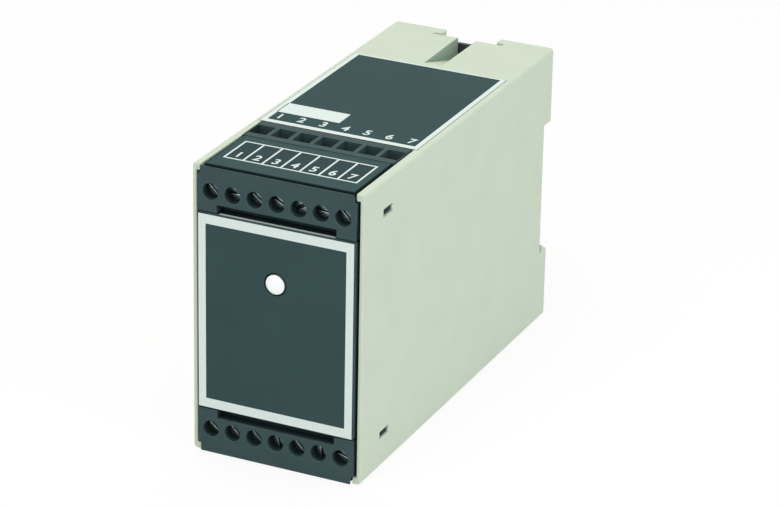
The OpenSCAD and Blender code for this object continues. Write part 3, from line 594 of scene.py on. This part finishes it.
def makeSpringTree(look):  # a helix whose end turns lie close, swept with a round wire
    ins = {"Turns": 6.0, "Radius": 0.0015, "Height": 0.0077, "Wire": 0.0002}
    tree, given, result = geometryTree("latchCoil", ins)
    helix = addNode(tree, "GeometryNodeCurveSpiral", {
        "Resolution": look["steps"], "Rotations": given["Turns"],
        "Start Radius": given["Radius"], "End Radius": given["Radius"]}).outputs[0]
    section = addNode(tree, "GeometryNodeCurvePrimitiveCircle", {
        "Resolution": look["sides"], "Radius": given["Wire"]}).outputs[0]
    along = addNode(tree, "GeometryNodeSplineParameter").outputs["Factor"]
    pitch = addNode(tree, "ShaderNodeFloatCurve", {"Value": along})
    points = pitch.mapping.curves[0].points
    for place, value in look["closing"]:
        points.new(place, value)
    for point in points:
        point.handle_type = "AUTO_CLAMPED"
    pitch.mapping.update()
    tall = calc(tree, "MULTIPLY", pitch.outputs[0], given["Height"])
    parts = splitPlace(tree, addNode(tree, "GeometryNodeInputPosition").outputs[0])
    placed = vector(tree, parts["X"], parts["Y"], tall)
    moved = addNode(tree, "GeometryNodeSetPosition", {"Geometry": helix, "Position": placed}).outputs[0]
    swept = addNode(tree, "GeometryNodeCurveToMesh", {
        "Curve": moved, "Profile Curve": section, "Fill Caps": True}).outputs[0]
    smooth = addNode(tree, "GeometryNodeSetShadeSmooth", {0: swept}).outputs[0]
    return closeTree(tree, smooth, given, result)


low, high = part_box("latch_spring")
wire = springLook["wire"] * mm
springMesh = runTree(makeSpringTree(springLook), "latch_coil", {
    "Turns": springLook["turns"], "Radius": springLook["radius"] * mm, "Wire": wire,
    "Height": high.z - low.z - 2 * wire, "Finish": finishes["spring_steel"]})
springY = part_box("rail_latch")[0].y + springLook["seat"] * mm
springMesh.transform(Matrix.Translation(((low.x + high.x) / 2, springY, low.z + wire)))
coil = linkPiece(springMesh, "latch_coil")
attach(coil, "isolator")
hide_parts("latch_spring")
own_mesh(coil)
print("spring wound:", len(springMesh.polygons), "faces")


inkDepth, inkFoot = 0.03 * mm, -0.02 * mm  # printed ink stands this far above its film, and starts in it


def inkMesh(name, shape, finish):
    bmesh.ops.recalc_face_normals(shape, faces=shape.faces)
    mesh = bpy.data.meshes.new(name)
    shape.to_mesh(mesh)
    shape.free()
    mesh.materials.append(finish)
    return mesh


def cornersOf(u0, v0, u1, v1):
    return [(u0, v0), (u1, v0), (u1, v1), (u0, v1)]


def inkPlate(name, edges, finish, height=inkDepth):  # the film lies at z = 0 and is placed later
    shape = bmesh.new()
    outline = cornersOf(*edges)
    lower, upper = [[shape.verts.new((u, v, z)) for u, v in outline] for z in (inkFoot, height)]
    shape.faces.new(lower[::-1])
    shape.faces.new(upper)
    for i in range(len(outline)):
        j = (i + 1) % len(outline)
        shape.faces.new((lower[i], lower[j], upper[j], upper[i]))
    return inkMesh(name, shape, finish)


def inkFrame(name, edges, widths, finish):  # a ring; widths at the left, front, right and rear
    shape = bmesh.new()
    (u0, v0, u1, v1), (left, front, right, rear) = edges, widths
    outer, inner = cornersOf(*edges), cornersOf(u0 + left, v0 + front, u1 - right, v1 - rear)
    lowOut, lowIn, topOut, topIn = [[shape.verts.new((u, v, z)) for u, v in outline]
                                    for z in (inkFoot, inkDepth) for outline in (outer, inner)]
    for i in range(len(outer)):
        j = (i + 1) % len(outer)
        for one, other in ((topOut, topIn), (lowIn, lowOut), (lowOut, topOut), (topIn, lowIn)):
            shape.faces.new((one[i], one[j], other[j], other[i]))
    return inkMesh(name, shape, finish)


onTopFace = Matrix.Identity(4)
onFrontFace = Matrix(((1, 0, 0, 0), (0, 0, -1, 0), (0, 1, 0, 0), (0, 0, 0, 1)))  # u to X, v to Z, out to -Y
onUnderFace = Matrix.Rotation(math.pi, 4, "X")


def layPrint(mesh, face, place):
    mesh.transform(Matrix.Translation(place) @ face)
    piece = linkPiece(mesh, mesh.name)
    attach(piece, "isolator")


frontBorder = {"side": 1.95, "level": 2.4, "margin": 0.04}  # mm
low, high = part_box("front_label")
side, level, margin = (frontBorder[key] * mm for key in ("side", "level", "margin"))
halfW, halfH = (high.x - low.x) / 2 - margin, (high.z - low.z) / 2 - margin
layPrint(inkFrame("front_border", (-halfW, -halfH, halfW, halfH), (side, level, side, level), paleInk),
         onFrontFace, (0, low.y, (low.z + high.z) / 2))


ledgeLine = {"half": 15.2, "front": 0.34, "rear": 1.04}  # mm, a pale line on the cover's upper edge
low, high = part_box("front_cover")
half, front, rear = (ledgeLine[key] * mm for key in ("half", "front", "rear"))
layPrint(inkPlate("ledge_line", (-half, front, half, rear), paleInk),
         onTopFace, (0, low.y, high.z))


figureShape = {"letter": 1.36, "bold": 0.025, "steps": 6}  # letter size and ink spread for a figure's height
figureWeld = 1e-8  # m


def numeralMesh(text, size, bold):  # lies flat, centred, with its foot towards -Y
    curve = bpy.data.curves.new("numeral", "FONT")
    curve.body, curve.size, curve.align_x, curve.align_y = text, size, "CENTER", "CENTER"
    curve.offset, curve.extrude, curve.resolution_u = bold, inkDepth / 2, figureShape["steps"]
    written = bpy.data.objects.new("numeral", curve)
    scene.collection.objects.link(written)
    mesh = plainMesh(written, "numeral")
    bpy.data.objects.remove(written)
    mesh.transform(Matrix.Translation((0, 0, inkDepth / 2)))
    return mesh


def numeralRow(name, texts, step, v, size, wide):  # one mesh for a row of numerals
    shape = bmesh.new()
    for i, text in enumerate(texts):
        mesh = numeralMesh(text, size * figureShape["letter"], size * figureShape["bold"])
        place = Matrix.Translation(((i - (len(texts) - 1) / 2) * step, v, 0))
        mesh.transform(place @ Matrix.Diagonal((wide, 1, 1, 1)))
        shape.from_mesh(mesh)
        bpy.data.meshes.remove(mesh)
    bmesh.ops.remove_doubles(shape, verts=shape.verts, dist=figureWeld)
    mesh = bpy.data.meshes.new(name)
    shape.to_mesh(mesh)
    shape.free()
    mesh.materials.clear()
    mesh.materials.append(paleInk)
    return mesh


ways = 7  # terminals in a row
figures = [str(i + 1) for i in range(2 * ways)]
upperTexts, lowerTexts = figures[:ways], figures[ways:]


topBorder = {"front": 1.8, "side": 1.3, "rear": 0.7, "margin": 0.04,  # mm
             "field": (-20.0, 7.2, -3.0, 13.6),
             "numeral": 3.05, "numeralY": 4.5, "numeralStep": 5.9, "wide": 0.95}
low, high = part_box("top_label")
front, side, rear, margin = (topBorder[key] * mm for key in ("front", "side", "rear", "margin"))
halfW, length = (high.x - low.x) / 2 - margin, high.y - low.y - 2 * margin
topPlace = (0, low.y + margin, high.z)
layPrint(inkFrame("top_border", (-halfW, 0, halfW, length), (side, front, side, rear), paleInk),
         onTopFace, topPlace)
layPrint(inkPlate("write_on_field", [value * mm for value in topBorder["field"]], paleInk),
         onTopFace, topPlace)
layPrint(numeralRow("label_numerals", upperTexts, topBorder["numeralStep"] * mm, topBorder["numeralY"] * mm,
                    topBorder["numeral"] * mm, topBorder["wide"]), onTopFace, topPlace)


markerGrid = {"step": 4.96, "line": 0.5, "front": 5.4, "rear": 16.6, "fill": 0.01,  # mm from the strip's front
              "numeral": 3.15, "numeralV": 8.2, "wide": {"upper": 0.92, "lower": 0.8}}  # one and two figures


def makeGridTree():  # cross lines on a row of points, closed by two long lines
    ins = {"Ways": ways, "Step": 0.005, "Line": 0.0005, "Length": 0.011, "Ink": 0.00005}
    tree, given, result = geometryTree("markerBoxes", ins)
    step, line, long, thick = (given[key] for key in ("Step", "Line", "Length", "Ink"))
    span = calc(tree, "MULTIPLY", given["Ways"], step)
    row = addNode(tree, "GeometryNodeMeshLine", {
        "Count": calc(tree, "ADD", given["Ways"], 1),
        "Start Location": vector(tree, calc(tree, "MULTIPLY", span, -0.5), 0, 0),
        "Offset": vector(tree, step, 0, 0)})
    cross = addNode(tree, "GeometryNodeMeshCube", {
        "Size": vector(tree, line, calc(tree, "SUBTRACT", long, line), thick)})
    pair = addNode(tree, "GeometryNodeMeshLine", {
        "Count": 2, "Start Location": vector(tree, 0, calc(tree, "MULTIPLY", long, -0.5), 0),
        "Offset": vector(tree, 0, long, 0)})
    rule = addNode(tree, "GeometryNodeMeshCube", {
        "Size": vector(tree, calc(tree, "ADD", span, line), line, thick)})
    joined = addNode(tree, "GeometryNodeJoinGeometry")
    for points, shape in ((row, cross), (pair, rule)):
        placed = addNode(tree, "GeometryNodeInstanceOnPoints", {
            "Points": points.outputs[0], "Instance": shape.outputs[0]})
        feed(tree, placed.outputs[0], joined.inputs[0])
    return closeTree(tree, joined.outputs[0], given, result)


def layMarkers(row, face, texts, up, tree, look):  # the fill, the boxes and the numerals of one strip
    low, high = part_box(row + "_marker_strip")
    step, boxL = look["step"] * mm, (look["rear"] - look["front"]) * mm
    centre = (look["front"] + look["rear"]) / 2 * mm
    half = ways * look["step"] / 2 * mm
    place = (0, low.y + centre, high.z if up > 0 else low.z)
    layPrint(inkPlate(row + "_box_fill", (-half, -boxL / 2, half, boxL / 2), boxInk, height=look["fill"] * mm),
             face, place)
    layPrint(runTree(tree, row + "_marker_boxes", {
        "Ways": ways, "Step": step, "Line": look["line"] * mm, "Length": boxL, "Ink": 2 * inkDepth,
        "Finish": paleInk}), face, place)
    layPrint(numeralRow(row + "_marker_numerals", texts, step, (look["numeralV"] * mm - centre) * up,
                        look["numeral"] * mm, look["wide"][row]), face, place)


gridTree = makeGridTree()
layMarkers("upper", onTopFace, upperTexts, 1, gridTree, markerGrid)
layMarkers("lower", onUnderFace, lowerTexts, -1, gridTree, markerGrid)
print("prints laid")


viewPoint = {"place": (0.33894, -0.72101, 0.38032), "turn": 24.942, "down": 23.443, "lean": 1.092,
             "lens": 159.86, "sensor": 36.0, "near": 0.01, "far": 20.0}  # m, degrees and mm of film


def makeCamera(look):
    turn, down, lean = (math.radians(look[key]) for key in ("turn", "down", "lean"))
    ahead = Vector((-math.sin(turn), math.cos(turn), 0))
    right, rise = Vector((math.cos(turn), math.sin(turn), 0)), Vector((0, 0, 1))
    forward = ahead * math.cos(down) - rise * math.sin(down)
    up = ahead * math.sin(down) + rise * math.cos(down)
    right, up = right * math.cos(lean) + up * math.sin(lean), up * math.cos(lean) - right * math.sin(lean)
    camera = bpy.data.objects.new("camera", bpy.data.cameras.new("camera"))
    camera.data.lens, camera.data.sensor_width = look["lens"], look["sensor"]
    camera.data.clip_start, camera.data.clip_end = look["near"], look["far"]
    scene.collection.objects.link(camera)
    axes = Matrix((right, up, -forward)).transposed().to_4x4()
    camera.matrix_world = Matrix.Translation(look["place"]) @ axes
    scene.camera = camera


makeCamera(viewPoint)


studio = {"sky": 0.44, "skyTint": (0.98, 1.0, 1.0), "aim": (0, 0, 0.04),
          "floorShare": 0.8, "floorGlow": 1.05, "floorHalf": 4, "paper": (0.86, 0.86, 0.86, 1.0),
          "top": {"place": (-0.1, -0.1, 0.9), "size": 0.9, "power": 3.85, "tint": (1.0, 0.985, 0.91)},
          "right": {"place": (0.9, -0.2, 0.5), "size": 0.8, "power": 3.3, "tint": (0.95, 0.99, 1.0)},
          "front": {"place": (-0.2, -1.0, 0.5), "size": 0.8, "power": 2.2, "tint": (1.0, 1.0, 1.0)}}


def seenRays(tree):  # camera, mirror and glass rays, which see a white room
    path = addNode(tree, "ShaderNodeLightPath").outputs
    first = calc(tree, "MAXIMUM", path["Is Camera Ray"], path["Is Glossy Ray"])
    return calc(tree, "MAXIMUM", first, path["Is Transmission Ray"])


def mixSeen(tree, share, lit, seen):  # lit: what the other rays meet
    return addNode(tree, "ShaderNodeMixShader", {0: share, 1: lit.outputs[0], 2: seen.outputs[0]}).outputs[0]


def makeRoom(look):
    scene.world = bpy.data.worlds.new("room")
    scene.world.use_nodes = True
    tree = scene.world.node_tree
    tree.nodes.clear()
    sky = addNode(tree, "ShaderNodeBackground", {"Color": (*look["skyTint"], 1.0), "Strength": look["sky"]})
    bright = addNode(tree, "ShaderNodeBackground", {"Color": white, "Strength": 1.0})
    addNode(tree, "ShaderNodeOutputWorld", {0: mixSeen(tree, seenRays(tree), sky, bright)})


def makeFloor(look):
    half = look["floorHalf"]
    mesh = bpy.data.meshes.new("floor")
    mesh.from_pydata([(u, v, 0) for u, v in cornersOf(-half, -half, half, half)], [], [(0, 1, 2, 3)])
    material, tree = startMaterial("floorPaper")
    paper = addNode(tree, "ShaderNodeBsdfDiffuse", {"Color": look["paper"]})
    glow = addNode(tree, "ShaderNodeEmission", {"Color": white, "Strength": look["floorGlow"]})
    share = calc(tree, "MULTIPLY", seenRays(tree), look["floorShare"])
    addNode(tree, "ShaderNodeOutputMaterial", {"Surface": mixSeen(tree, share, paper, glow)})
    mesh.materials.append(material)
    floor = linkPiece(mesh, "floor")


def makeSoftbox(name, box, aim):
    lamp = bpy.data.lights.new(name + "Softbox", "AREA")
    lamp.size, lamp.energy, lamp.color = box["size"], box["power"], box["tint"]
    holder = bpy.data.objects.new(name + "Softbox", lamp)
    holder.location = box["place"]
    holder.rotation_euler = (Vector(aim) - Vector(box["place"])).to_track_quat("-Z", "Y").to_euler()
    scene.collection.objects.link(holder)


makeRoom(studio)
makeFloor(studio)
for name in ("top", "right", "front"):
    makeSoftbox(name, studio[name], studio["aim"])
scene.view_settings.view_transform = "Standard"
print("camera and light set")
